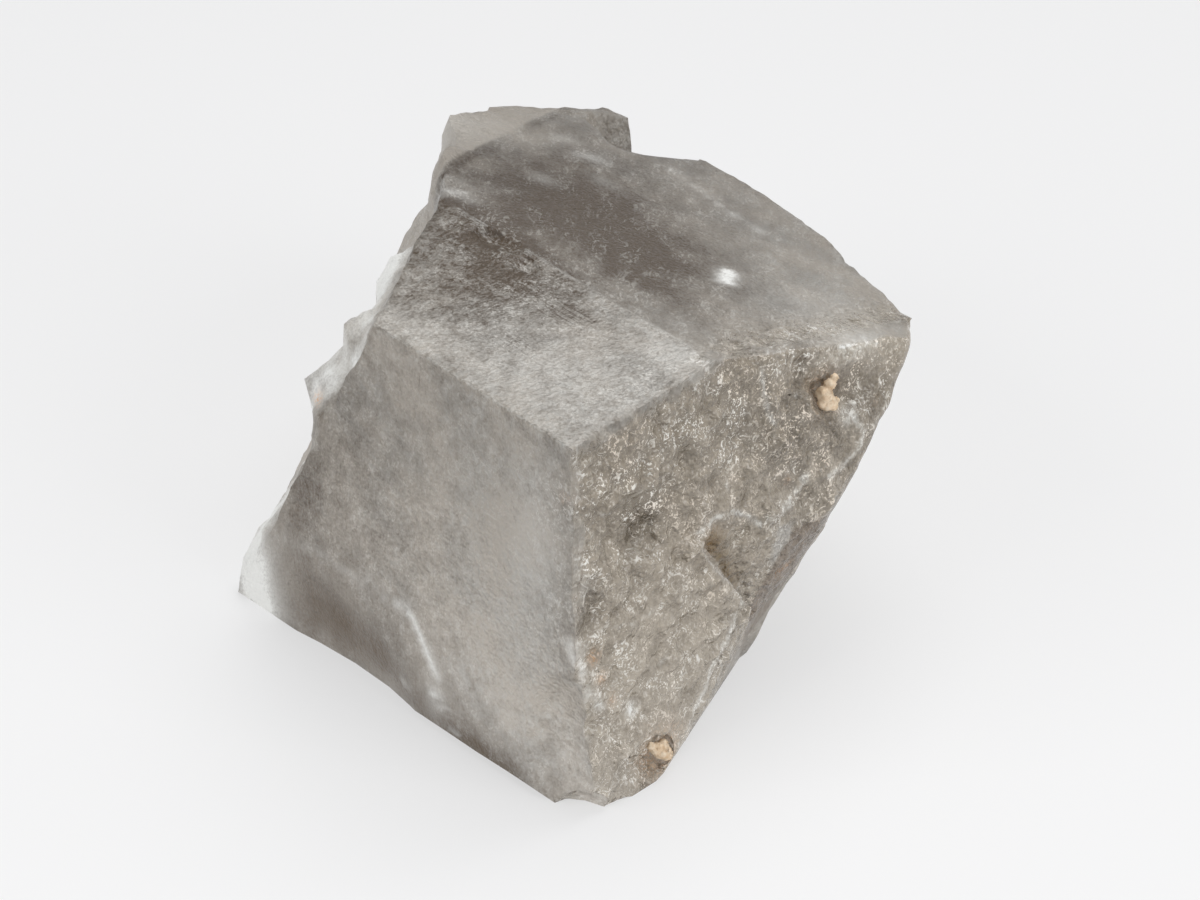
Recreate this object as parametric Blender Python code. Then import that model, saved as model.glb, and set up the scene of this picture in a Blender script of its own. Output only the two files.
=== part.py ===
"""Danburite specimen: one broken, smoky grey crystal that lies on a worn prism face.

The crystal's length runs along +X, to its etched and pitted end. A flat left face and two
flat top faces meet in sharp edges along that length. Everything else is a break: an oblique
fracture with rough lips at the far end, a steep right side, a deep notch with a step low on
the etched end, and conchoidal chips. Two crumbs of clay sit in pits of the etched end.
"""
from math import cos, exp, radians, sin

import bmesh
import bpy
from mathutils import Matrix, Vector, noise

# The shape is worked out in millimetres and written in metres.
MM = 0.001

# Flat faces. Each is (turn, tip, reach): turn is the angle of its outward direction round the
# crystal's length, from +Y up towards +Z; tip leans that direction towards +X, in degrees;
# reach is how far out the face lies from the foot of the middle, in millimetres.
LEFT_FACE = (177.1, -0.4, 13.05)
TOP_FACE = (92.3, 1.7, 24.82)
RIGHT_TOP_FACE = (72.3, 1.4, 23.65)
ETCHED_END = (36.9, 81.5, 18.49)
ETCHED_SHOULDER = (68.7, 18.3, 26.57)
FAR_BREAK = (142.7, -46.4, 16.32)
FAR_TIP = (60.0, -82.0, 26.2)
RIGHT_UNDERCUT = (-35.6, 33.7, 11.45)
RIGHT_BREAK = (-11.3, 19.7, 19.08)
RIGHT_BACK = (-12.0, 0.0, 21.74)
LEFT_FOOT = (222.0, 0.0, 9.45)
BED_FACE = (270.0, 0.0, 0.0)

# The step under the etched end, and the notch above it.
PLATE_SIDE = (-35.5, 56.8, 13.40)
STEP_FLOOR = (-58.7, 65.1, 13.02)
STEP_ROOF = (62.2, 5.0, 17.78)
NOTCH_WALL = (33.2, 0.0, 5.78)
NOTCH_FLOOR = (-94.7, 75.0, 13.60)
NOTCH_RIGHT = 7.5

# Chips: centre of the dished hollow and its half sizes.
CHIPS = (
    ((-1.8, -14.0, 0.0), (9.4, 1.5, 7.9)),
    ((20.8, -14.0, 5.2), (7.0, 2.0, 6.4)),
    ((20.7, -12.9, 9.2), (1.7, 1.7, 2.4)),
    ((-1.9, -0.3, 25.5), (2.5, 1.3, 1.1)),
    ((1.3, -1.2, 25.4), (1.9, 1.0, 0.9)),
    ((-16.9, 25.0, 19.6), (4.0, 4.4, 6.2)),
    ((-17.4, 22.4, 20.6), (2.2, 2.6, 2.4)),
    ((20.9, -13.4, -0.7), (3.4, 3.0, 3.0)),
    ((21.4, -9.9, -1.1), (2.6, 2.5, 2.5)),
    ((20.6, -5.4, -1.2), (2.3, 2.1, 2.2)),
    ((-26.6, 13.0, -1.5), (5.0, 7.0, 6.0)),
    ((-26.2, 24.6, 7.0), (3.6, 4.4, 8.0)),
    ((-5.0, 26.4, 0.5), (9.0, 3.6, 5.5)),
    ((9.0, 16.0, 0.5), (6.0, 3.4, 4.5)),
)

CHIP_UNEVEN = 0.28
CHIP_LUMPS = 1.4

# Crumbs of clay: centre, half sizes, turn about the end's outward direction, seed.
CLAY_CRUMBS = {
    "clay_crumb_upper": ((15.95, 9.75, 18.25), (0.75, 0.95, 1.15), 20.0, 3),
    "clay_crumb_lower": ((19.35, -6.30, 1.75), (0.55, 0.75, 0.80), -35.0, 8),
}
CRUMB_GAP = 0.38

# Pits of the etched end: place across it (y, z), radius, depth.
PITS = (
    ((-7.6, 16.8), 2.3, 1.15),
    ((-5.9, 15.6), 1.3, 0.65),
    ((-11.0, 13.2), 1.1, 0.45),
    ((8.0, 20.2), 1.5, 0.85),
    ((12.2, 17.4), 1.5, 0.75),
    ((9.8, 18.2), 1.6, 0.80),
    ((-7.2, 1.2), 1.3, 0.60),
    ((2.6, 17.6), 1.6, 0.45),
    ((-2.5, 19.6), 1.2, 0.35),
    ((13.0, 11.2), 1.3, 0.40),
    ((-9.4, 8.2), 1.2, 0.30),
    ((-3.4, 8.4), 1.4, 0.25),
)

# Ridges of the etched end: start (y, z), end (y, z), half width, height.
RIDGES = (
    ((4.2, 23.6), (5.0, 18.7), 0.55, 0.45),
    ((6.4, 20.9), (8.3, 17.0), 0.60, 0.35),
    ((13.4, 16.4), (13.9, 12.0), 0.70, 0.50),
    ((0.4, 14.4), (5.6, 12.2), 0.60, 0.40),
    ((-2.6, 13.6), (1.8, 7.2), 0.60, 0.30),
    ((-4.4, 21.6), (-0.6, 19.4), 0.60, 0.25),
)

# Rough lips of the far break, pushed straight out of it: centre, radius, how far they stand.
LIPS = (
    ((-12.0, -10.6, 3.4), 3.6, 0.6),
    ((-9.0, -10.4, 9.6), 2.6, 0.6),
    ((-6.4, -9.6, 16.0), 2.8, 2.3),
    ((-4.8, -8.4, 20.0), 2.4, 1.6),
    ((-8.0, -3.6, 21.4), 2.4, 1.7),
    ((-13.6, 6.4, 22.3), 3.4, 1.2),
    ((-19.6, 11.4, 21.6), 4.6, 1.6),
    ((-14.0, 2.0, 10.0), 5.0, 1.2),
    ((-19.5, 11.0, 12.0), 5.0, 1.6),
    ((-17.0, 6.0, 3.0), 4.0, -1.0),
)

# Swells and hollows of the other faces, along the surface's own direction.
SWELLS = (
    ((2.0, -13.0, 1.4), 6.0, 0.45),
    ((10.0, -13.0, 1.0), 4.0, 0.25),
    ((-13.0, 16.5, 19.8), 2.2, 0.35),
    ((-18.0, 18.8, 19.2), 2.4, 0.45),
    ((-10.2, 10.4, 21.8), 1.8, 0.25),
    ((-8.0, 24.0, 8.0), 6.0, 0.9),
    ((4.0, 20.0, 9.0), 5.0, -1.0),
)

# Longest triangle side in each zone, before the surface is roughened. The step's faces reach
# in under the end, and only their part beyond STEP_FROM_X is etched.
END_GRAIN = 0.95
STEP_GRAIN = 1.15
BREAK_GRAIN = 1.65
SIDE_GRAIN = 2.25
FACE_GRAIN = 3.2
STEP_FROM_X = 9.0
IN_ZONE = 0.3
GRAIN_SLACK = 1.35
SPLIT_ROUNDS = 9

# Roughness of each zone: (height, spacing) of its coarse and its fine waves.
END_WAVES = ((0.34, 3.2), (0.30, 1.15))
BREAK_WAVES = ((0.85, 7.0), (0.30, 2.2))
SIDE_WAVES = ((0.45, 6.0), (0.14, 2.4))
FACE_WAVES = ((0.05, 7.0), (0.02, 2.5))
ZONE_FADE = 0.9
ETCHED_FADES = (0.6, 0.3)
LIP_FADE = 2.0
RIM_WIDTH = 1.1
BED_FADE = 1.6

# Small facets of the etched end: their size and how far their middles stand out.
FACET_SIZE = 1.7
FACET_RISE = 0.42
FACET_DROP = 0.12

# Looks: colour, roughness, how much light passes through, index of refraction.
CRYSTAL_LOOK = ((0.42, 0.40, 0.36, 1.0), 0.3, 0.6, 1.63)
CLAY_LOOK = ((0.72, 0.55, 0.38, 1.0), 0.9, 0.0, 1.45)

ON_PLANE = 0.02


def outward(face):
    turn, tip = radians(face[0]), radians(face[1])
    return Vector((sin(tip), cos(tip) * cos(turn), cos(tip) * sin(turn)))


def new_collection(name):
    collection = bpy.data.collections.new(name)
    bpy.context.scene.collection.children.link(collection)
    return collection


def new_object(name, bm, collection):
    mesh = bpy.data.meshes.new(name)
    bm.to_mesh(mesh)
    bm.free()
    item = bpy.data.objects.new(name, mesh)
    collection.objects.link(item)
    return item


def stone_between(faces, half_size=60.0):
    """A block cut down to the faces given; each pair is (face, +1 keeps its inner side)."""
    bm = bmesh.new()
    bmesh.ops.create_cube(bm, size=2 * half_size)
    for face, side in faces:
        direction = outward(face)
        cut = bmesh.ops.bisect_plane(
            bm,
            geom=bm.verts[:] + bm.edges[:] + bm.faces[:],
            dist=1e-5,
            plane_co=direction * face[2],
            plane_no=direction * side,
            clear_outer=True,
        )
        rim = [item for item in cut["geom_cut"] if isinstance(item, bmesh.types.BMEdge)]
        bmesh.ops.edgenet_fill(bm, edges=rim)
    bmesh.ops.recalc_face_normals(bm, faces=bm.faces[:])
    return bm


def cut_away(item, cutter):
    cutter.hide_render = True
    cutter.display_type = "WIRE"
    cut = item.modifiers.new(cutter.name, "BOOLEAN")
    cut.operation = "DIFFERENCE"
    cut.solver = "EXACT"
    cut.object = cutter


def apply_modifiers(item):
    """Turn the object's evaluated shape into its plain mesh."""
    graph = bpy.context.evaluated_depsgraph_get()
    mesh = bpy.data.meshes.new_from_object(item.evaluated_get(graph))
    item.modifiers.clear()
    old = item.data
    item.data = mesh
    bpy.data.meshes.remove(old)


def drop_splinters(bm):
    """Keep the largest shell: a cut can leave a loose splinter beside it."""
    unseen = set(bm.verts)
    shells = []
    while unseen:
        shell = {unseen.pop()}
        edge_of_growth = list(shell)
        while edge_of_growth:
            vert = edge_of_growth.pop()
            near = {edge.other_vert(vert) for edge in vert.link_edges} - shell
            shell |= near
            edge_of_growth.extend(near)
        unseen -= shell
        shells.append(shell)
    shells.sort(key=len)
    splinters = [vert for shell in shells[:-1] for vert in shell]
    bmesh.ops.delete(bm, geom=splinters, context="VERTS")


def on_face(point, face, slack=ON_PLANE):
    return abs(outward(face).dot(point) - face[2]) < slack


def nearness(point, face, fade=ZONE_FADE):
    """1 on the face, falling to 0 a few millimetres in from it."""
    depth = (face[2] - outward(face).dot(point)) / fade
    return exp(-depth * depth)


ETCHED = (ETCHED_END, ETCHED_SHOULDER)
BREAKS = (FAR_BREAK, FAR_TIP)
RIM_FACES = (LEFT_FACE, TOP_FACE)
SIDES = (RIGHT_UNDERCUT, RIGHT_BREAK, RIGHT_BACK)
STEP = (PLATE_SIDE, STEP_FLOOR, NOTCH_FLOOR)


def grain_at(point):
    """Longest triangle side wanted at a point of the surface."""
    if any(nearness(point, face) > IN_ZONE for face in ETCHED):
        return END_GRAIN
    if any(on_face(point, face, 0.3) for face in STEP) and point.x > STEP_FROM_X:
        return STEP_GRAIN
    if any(nearness(point, face) > IN_ZONE for face in BREAKS):
        return BREAK_GRAIN
    if any(nearness(point, face) > IN_ZONE for face in SIDES):
        return SIDE_GRAIN
    return FACE_GRAIN


def refine(bm):
    """Split long edges until every zone has triangles of its own grain."""
    bmesh.ops.triangulate(bm, faces=bm.faces[:])
    for _ in range(SPLIT_ROUNDS):
        long_edges = []
        for edge in bm.edges:
            middle = (edge.verts[0].co + edge.verts[1].co) / 2
            if edge.calc_length() > GRAIN_SLACK * grain_at(middle):
                long_edges.append(edge)
        if not long_edges:
            break
        bmesh.ops.subdivide_edges(bm, edges=long_edges, cuts=1)
        bmesh.ops.triangulate(bm, faces=[face for face in bm.faces if len(face.verts) > 3])
        flat = [edge for edge in bm.edges if edge.calc_face_angle(1.0) < 0.001]
        bmesh.ops.beautify_fill(bm, faces=bm.faces[:], edges=flat)


def waves(point, zone, seed):
    """Coarse and fine waves of a zone, as one height in millimetres."""
    (coarse, wide), (fine, narrow) = zone
    shift = Vector((seed, 2.3 * seed, -1.7 * seed))
    slow = noise.noise(point / wide + shift)
    ridged = 1.0 - 2.0 * abs(noise.noise(point / narrow - shift))
    return coarse * slow + fine * ridged * 0.7


def etched_height(point):
    """Height of the etched end's own forms: small facets, pits and ridges."""
    place = Vector((point.y, point.z))
    cells = noise.voronoi(point / FACET_SIZE, distance_metric="MANHATTAN")[0]
    height = FACET_RISE * (cells[1] - cells[0]) - FACET_DROP
    height += waves(point, END_WAVES, 1.0)
    for centre, radius, depth in PITS:
        gap = (place - Vector(centre)).length / radius
        if gap < 1.0:
            height -= depth * (1.0 - gap * gap) ** 0.7
    for start, end, half_width, rise in RIDGES:
        along = Vector(end) - Vector(start)
        t = max(0.0, min(1.0, (place - Vector(start)).dot(along) / along.length_squared))
        gap = (place - Vector(start) - along * t).length / half_width
        height += rise * exp(-gap * gap)
    return height


def within_rim(point):
    """0 on the far break's sharp rim with the flat faces, 1 once it is well inside them."""
    return min(1.0, max(0.0, min(face[2] - outward(face).dot(point) for face in RIM_FACES)) / RIM_WIDTH)


def roughen(bm):
    """Move the surface in and out, zone by zone, and leave the bed face flat."""
    etched_out = (outward(ETCHED_END) + 0.5 * outward(ETCHED_SHOULDER)).normalized()
    moves = {}
    for vert in bm.verts:
        point = vert.co.copy()
        move = vert.normal * waves(point, FACE_WAVES, 5.0)
        weight = max(nearness(point, face, fade) for face, fade in zip(ETCHED, ETCHED_FADES))
        if weight > 0.01:
            move += etched_out * weight * (etched_height(point) - 0.2)
        inside_rim = within_rim(point)
        for number, face in enumerate(BREAKS):
            weight = nearness(point, face) * inside_rim
            if weight > 0.02:
                move += outward(face) * weight * (waves(point, BREAK_WAVES, 11.0 + number) - 0.15)
        for number, face in enumerate(SIDES):
            weight = nearness(point, face) * (1.0 - nearness(point, ETCHED_END))
            if weight > 0.02:
                move += outward(face) * weight * (waves(point, SIDE_WAVES, 21.0 + number) - 0.1)
        far_side = nearness(point, FAR_BREAK, LIP_FADE) * inside_rim
        for centre, radius, stand in LIPS:
            gap = (point - Vector(centre)).length / radius
            if gap < 2.0:
                move += outward(FAR_BREAK) * far_side * stand * exp(-2.0 * gap * gap)
        for centre, radius, stand in SWELLS:
            gap = (point - Vector(centre)).length / radius
            if gap < 2.0:
                move += vert.normal * stand * exp(-2.0 * gap * gap)
        rise = min(1.0, point.z / BED_FADE)
        if on_face(point, BED_FACE):
            rise = 0.0
        moves[vert] = move * rise
    for vert, move in moves.items():
        vert.co += move
        vert.co.z = max(vert.co.z, 0.0)


def make_crumb(name, spec, collection):
    centre, half, turn, seed = spec
    bm = bmesh.new()
    bmesh.ops.create_icosphere(bm, subdivisions=2, radius=1.0)
    for vert in bm.verts:
        spot = vert.co * 1.6 + Vector((seed, seed, seed))
        vert.co *= 1.0 + 0.30 * noise.noise(spot) + 0.12 * noise.noise(spot * 2.7)
        vert.co = Vector((vert.co.x * half[0], vert.co.y * half[1], vert.co.z * half[2]))
    lie = Matrix.Rotation(radians(turn), 3, "X")
    bmesh.ops.rotate(bm, verts=bm.verts[:], matrix=lie)
    bmesh.ops.translate(bm, verts=bm.verts[:], vec=Vector(centre))
    return new_object(name, bm, collection)


def make_crumb_pocket(crumb, collection):
    """The hollow in the crystal round a crumb, wider than it by the gap."""
    bm = bmesh.new()
    bm.from_mesh(crumb.data)
    bm.normal_update()
    for vert in bm.verts:
        vert.co += vert.normal * CRUMB_GAP
    return new_object(crumb.name + "_pocket", bm, collection)


def make_material(name, look):
    colour, roughness, transmission, ior = look
    material = bpy.data.materials.new(name)
    material.use_nodes = True
    shader = material.node_tree.nodes["Principled BSDF"]
    shader.inputs["Base Color"].default_value = colour
    shader.inputs["Roughness"].default_value = roughness
    shader.inputs["Metallic"].default_value = 0.0
    shader.inputs["Transmission Weight"].default_value = transmission
    shader.inputs["IOR"].default_value = ior
    return material


def make_crystal(parts, cutters):
    faces = (LEFT_FACE, TOP_FACE, RIGHT_TOP_FACE, ETCHED_END, FAR_BREAK, FAR_TIP,
             RIGHT_UNDERCUT, RIGHT_BREAK, RIGHT_BACK, LEFT_FOOT, BED_FACE)
    crystal = new_object("crystal", stone_between([(face, 1) for face in faces]), parts)

    step = stone_between([(PLATE_SIDE, -1), (STEP_FLOOR, -1), (STEP_ROOF, 1)])
    cut_away(crystal, new_object("step_cutter", step, cutters))

    right_stop = (0.0, 0.0, NOTCH_RIGHT)
    notch = stone_between([(NOTCH_WALL, -1), (NOTCH_FLOOR, -1), (right_stop, 1)])
    cut_away(crystal, new_object("notch_cutter", notch, cutters))

    for number, (centre, half) in enumerate(CHIPS):
        bm = bmesh.new()
        bmesh.ops.create_icosphere(bm, subdivisions=3, radius=1.0)
        for vert in bm.verts:
            spot = vert.co * CHIP_LUMPS + Vector((number, 0, 0))
            vert.co *= 1.0 + CHIP_UNEVEN * noise.noise(spot)
        bmesh.ops.scale(bm, verts=bm.verts[:], vec=Vector(half))
        bmesh.ops.translate(bm, verts=bm.verts[:], vec=Vector(centre))
        cut_away(crystal, new_object(f"chip_cutter_{number + 1}", bm, cutters))
    apply_modifiers(crystal)

    bm = bmesh.new()
    bm.from_mesh(crystal.data)
    drop_splinters(bm)
    bmesh.ops.remove_doubles(bm, verts=bm.verts[:], dist=0.004)
    bmesh.ops.dissolve_limit(bm, angle_limit=0.002, verts=bm.verts[:], edges=bm.edges[:])
    refine(bm)
    bm.normal_update()
    roughen(bm)
    bm.to_mesh(crystal.data)
    bm.free()
    return crystal


def place_on_bed(items):
    """Centre the crystal over the origin, standing on z = 0, and write metres."""
    corners = [vert.co for vert in items[0].data.vertices]
    low = Vector(min(co[axis] for co in corners) for axis in range(3))
    high = Vector(max(co[axis] for co in corners) for axis in range(3))
    foot = Vector(((low.x + high.x) / 2, (low.y + high.y) / 2, low.z))
    for item in items:
        item.data.transform(Matrix.Scale(MM, 4) @ Matrix.Translation(-foot))
        item.data.update()


def main():
    for item in list(bpy.data.objects):
        bpy.data.objects.remove(item, do_unlink=True)
    parts = new_collection("danburite_specimen")
    cutters = new_collection("cutters")

    crystal = make_crystal(parts, cutters)
    crumbs = [make_crumb(name, spec, parts) for name, spec in CLAY_CRUMBS.items()]
    for crumb in crumbs:
        cut_away(crystal, make_crumb_pocket(crumb, cutters))
    apply_modifiers(crystal)
    place_on_bed([crystal] + crumbs)

    crystal.data.materials.clear()
    crystal.data.materials.append(make_material("smoky_danburite", CRYSTAL_LOOK))
    clay = make_material("clay", CLAY_LOOK)
    for crumb in crumbs:
        crumb.data.materials.append(clay)


main()
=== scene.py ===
"""Danburite specimen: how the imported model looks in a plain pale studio.

A broken, smoky grey crystal lies on its worn lower face. Two crumbs of clay sit in pits of its
etched end. The floor, the lights and the camera come last.
"""
from math import cos, exp, radians, sin

import bmesh
import bpy
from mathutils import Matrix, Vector, noise


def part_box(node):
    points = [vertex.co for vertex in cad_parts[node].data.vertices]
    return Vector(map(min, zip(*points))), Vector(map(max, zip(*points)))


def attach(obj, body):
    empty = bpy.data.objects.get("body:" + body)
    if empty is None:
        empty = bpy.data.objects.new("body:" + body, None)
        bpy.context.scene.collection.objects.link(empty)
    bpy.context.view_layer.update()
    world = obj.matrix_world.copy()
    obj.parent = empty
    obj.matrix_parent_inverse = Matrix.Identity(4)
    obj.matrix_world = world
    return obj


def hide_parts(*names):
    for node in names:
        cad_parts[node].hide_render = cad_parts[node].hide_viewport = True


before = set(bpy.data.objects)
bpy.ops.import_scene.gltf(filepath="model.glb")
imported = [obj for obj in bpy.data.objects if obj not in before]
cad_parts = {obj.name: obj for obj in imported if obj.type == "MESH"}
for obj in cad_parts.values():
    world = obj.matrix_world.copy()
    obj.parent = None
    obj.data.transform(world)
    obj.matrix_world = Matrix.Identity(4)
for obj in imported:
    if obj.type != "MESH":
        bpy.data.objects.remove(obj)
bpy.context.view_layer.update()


# The crystal: one piece of smoky danburite, broken from its bed. Its prism faces are satin and
# lightly frosted, its end is etched into thousands of small cups with sharp rims, and its
# breaks are rough. Light passes into it and is lost in grey clouds and white veils.

MM = 0.001
# Where the places below are counted from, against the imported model's origin, in millimetres.
MEASURED_FROM = Vector((-2.660, 6.276, -0.012))

# Flat faces: turn about the crystal's length and tip along it, in degrees, and how far out
# the face lies, in millimetres.
CRYSTAL_FACES = {
    "left": (177.1, -0.4, 13.05),
    "top": (92.3, 1.7, 24.82),
    "right_top": (72.3, 1.4, 23.65),
    "end": (36.9, 81.5, 18.49),
    "shoulder": (68.7, 18.3, 26.57),
    "far_break": (142.7, -46.4, 16.32),
    "far_tip": (60.0, -82.0, 26.2),
    "undercut": (-35.6, 33.7, 11.45),
    "right": (-11.3, 19.7, 19.08),
    "back": (-12.0, 0.0, 21.74),
    "plate_side": (-35.5, 56.8, 13.40),
    "step_floor": (-58.7, 65.1, 13.02),
    "notch_floor": (-94.7, 75.0, 13.60),
}

# Triangle side on the etched end and elsewhere.
ETCHED_EDGE = 0.21
PLAIN_EDGE = 0.62
# An edge this many times too long is cut in two, in at most so many rounds.
TOO_LONG = 1.4
CUTTING_ROUNDS = 6
# How near to a crease, counted over both its faces, the stone is worn round, and how often its
# corners are drawn together: along the shoulder, and where the end meets the hidden breaks.
CREASE_ROUNDING = 2.2
BORDER_ROUNDING = 1.3
ROUNDING_STEPS = 24
# Creases sharper than this stay sharp.
SHARP_ANGLE = radians(28)

# How far below the end and the shoulder the etching reaches.
ETCH_REACH = 2.6
SHOULDER_REACH = 0.8
# Sizes and heights of the etched cups and ledges, and the mean height of them all.
WIDE_CUP = 1.05
WIDE_CUP_HEIGHT = 0.30
SMALL_CUP = 0.52
SMALL_CUP_HEIGHT = 0.15
LEDGE = 2.4
LEDGE_HEIGHT = 0.36
CUP_LEVEL = 0.14
# Sizes and heights of the breaks' steps, swells and ripples, and their mean height.
BREAK_STEP = 2.6
BREAK_STEP_HEIGHT = 0.22
BREAK_SWELL = 1.9
BREAK_SWELL_HEIGHT = 0.25
BREAK_RIPPLE = 0.8
BREAK_RIPPLE_HEIGHT = 0.16
BREAK_LEVEL = 0.05
# Over this height above the floor the relief fades in, so that the bed face stays flat.
BED_FADE = 0.8

# Smoke in the stone, and painted shade in pits and hollows of the etched end: centre, half sizes,
# strength (below 0 is a clear, light patch).
SMOKE_AND_PIT_SHADE = (
    ((-9.0, 10.5, 22.0), (11.0, 9.0, 6.0), 0.90),
    ((0.5, 8.5, 22.4), (9.0, 6.5, 4.0), 0.85),
    ((7.0, 4.5, 23.4), (5.0, 2.6, 3.0), 0.45),
    ((-15.0, 19.0, 19.5), (6.0, 5.0, 4.0), 0.25),
    ((12.0, 9.0, 22.5), (5.0, 3.0, 3.0), -0.15),
    ((6.0, 18.5, 19.6), (7.0, 5.0, 4.0), -0.35),
    ((13.0, 17.0, 19.0), (5.0, 5.0, 4.0), -0.30),
    ((-18.8, 13.1, 21.3), (3.4, 4.0, 2.0), -0.75),
    ((-7.5, -13.0, 12.0), (5.0, 3.0, 6.0), 0.80),
    ((-2.0, -13.0, 16.5), (3.6, 3.0, 4.6), 0.18),
    ((-3.0, -13.0, 2.0), (9.0, 3.0, 4.2), 1.00),
    ((10.6, -13.0, 0.4), (5.6, 3.0, 2.6), 0.95),
    ((14.0, -13.0, -0.4), (4.0, 3.0, 1.8), 0.70),
    ((3.5, -4.5, 24.8), (6.5, 6.5, 1.0), 0.85),
    ((-2.0, -9.6, 24.8), (4.0, 2.6, 1.0), 0.18),
    ((-7.0, 0.0, 24.6), (6.0, 4.0, 2.0), 0.75),
    ((-0.5, -1.5, 24.8), (5.0, 3.0, 1.2), 0.40),
    ((-2.0, -8.0, 24.8), (5.0, 5.0, 1.2), 0.20),
    ((1.0, -13.0, 7.5), (12.0, 3.0, 9.5), 0.26),
    ((12.5, -13.0, 15.0), (5.0, 3.0, 7.0), -0.42),
    ((13.5, -13.0, 7.0), (5.0, 3.0, 6.0), -0.35),
    ((17.9, -6.6, 16.4), (1.5, 1.5, 1.3), 0.85),
    ((18.8, -11.1, 13.2), (1.4, 1.3, 1.7), 0.65),
    ((17.4, -1.2, 16.8), (1.3, 1.3, 1.5), 0.30),
    ((15.9, 8.2, 20.5), (1.1, 1.0, 1.5), 0.75),
    ((15.8, 11.5, 18.3), (1.2, 1.3, 1.3), 0.75),
    ((16.6, 7.0, 15.9), (1.0, 1.0, 1.3), 0.60),
    ((16.3, 10.4, 15.2), (1.0, 1.2, 1.1), 0.45),
    ((16.0, 3.1, 22.6), (1.4, 0.8, 1.6), 0.30),
    ((15.6, 12.6, 20.3), (2.0, 3.8, 1.3), -0.95),
    ((15.0, 16.4, 19.2), (2.0, 2.6, 1.8), -0.70),
    ((16.0, 6.0, 23.0), (1.6, 2.6, 1.2), -0.30),
    ((16.2, 11.6, 13.8), (1.0, 1.5, 1.3), -0.45),
    ((15.6, 13.4, 13.6), (1.2, 0.5, 2.6), 0.60),
    ((19.4, -7.2, 0.6), (1.2, 1.1, 1.1), 0.70),
    ((19.5, -8.4, 2.6), (1.2, 1.3, 1.2), 0.40),
    ((18.6, -0.9, 5.9), (1.2, 1.2, 2.2), -0.15),
    ((18.9, -4.0, 4.4), (1.2, 1.3, 0.9), 0.30),
    ((19.0, -6.0, 8.5), (2.0, 4.0, 3.6), -0.10),
    ((16.7, 6.0, 17.0), (1.4, 1.8, 1.8), 0.35),
)

# White frost and veils: centre, half sizes, strength.
FROST = (
    ((-10.6, -12.8, 2.0), (2.0, 3.0, 3.0), 1.3),
    ((-9.4, -12.8, 0.4), (1.3, 3.0, 0.9), 0.7),
    ((-7.4, -4.6, 22.0), (2.0, 2.4, 2.4), 1.0),
    ((15.6, -13.0, 17.0), (2.6, 2.0, 5.5), 0.26),
    ((-20.0, 8.0, 21.0), (4.0, 5.0, 4.0), 0.35),
    ((19.4, -8.4, 5.4), (0.5, 0.42, 0.55), 1.0),
    ((12.0, -7.5, 24.6), (6.0, 4.0, 0.8), 0.28),
    ((15.0, -1.0, 24.4), (2.6, 1.4, 0.8), 0.35),
    ((2.0, -10.6, 24.6), (4.0, 1.6, 0.8), 0.22),
    ((11.5, 14.5, 20.5), (4.5, 4.5, 1.6), 0.22),
    ((-10.0, 10.1, 21.9), (1.0, 0.8, 0.8), 0.30),
    ((-13.0, 16.5, 19.9), (1.2, 1.0, 1.0), 0.40),
    ((-16.4, 17.4, 20.2), (0.9, 1.2, 1.0), 0.30),
    ((-9.4, 14.6, 20.6), (1.2, 0.7, 0.8), 0.25),
    ((-7.3, 2.0, 24.4), (0.8, 0.9, 0.6), 0.28),
    ((15.6, 12.9, 20.1), (1.4, 3.2, 0.9), 0.38),
    ((7.3, -13.0, 2.6), (0.7, 1.0, 1.6), 0.30),
    ((16.0, 11.6, 16.0), (0.5, 0.7, 0.6), 0.7),
)

# White wisps, ledges and rims that run along the surface: points, half width, strength.
WISPS = (
    (((-8.8, -12.6, 6.0), (-3.5, -12.6, 6.8), (2.3, -12.8, 6.7), (3.3, -12.8, 6.9)), 0.20, 0.28),
    (((3.3, -12.8, 6.9), (4.5, -12.8, 6.9)), 0.26, 0.55),
    (((4.7, -12.8, 6.8), (5.7, -12.9, 5.8), (6.6, -13.0, 4.7), (7.3, -13.0, 3.9)), 0.27, 0.85),
    (((6.9, -13.2, 2.7), (8.4, -13.3, 1.6)), 0.18, 0.50),
    (((7.9, -13.2, 2.6), (8.5, -13.3, 2.2)), 0.14, 0.45),
    (((4.0, -13.0, 1.9), (4.2, -13.0, 1.7)), 0.22, 0.70),
    (((8.9, -13.3, 0.9), (9.3, -13.3, 0.8)), 0.22, 0.60),
    (((9.5, -13.0, 5.6), (10.2, -13.1, 4.4)), 0.16, 0.30),
    (((-5.2, -12.4, 14.4), (-4.2, -12.4, 13.0)), 0.16, 0.30),
    (((19.2, -12.64, 11.3), (19.27, -12.1, 9.8), (19.37, -11.7, 8.0), (19.4, -10.9, 6.8)), 0.34, 1.0),
    (((19.4, -10.9, 6.8), (19.4, -9.9, 6.2), (19.4, -8.9, 6.3)), 0.16, 0.8),
    (((-11.9, 21.9, 18.2), (-4.4, 20.3, 18.5), (0.5, 20.0, 18.4)), 0.25, 0.35),
    (((4.9, 12.1, 20.9), (6.3, 10.6, 21.3)), 0.52, 1.3),
)
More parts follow.
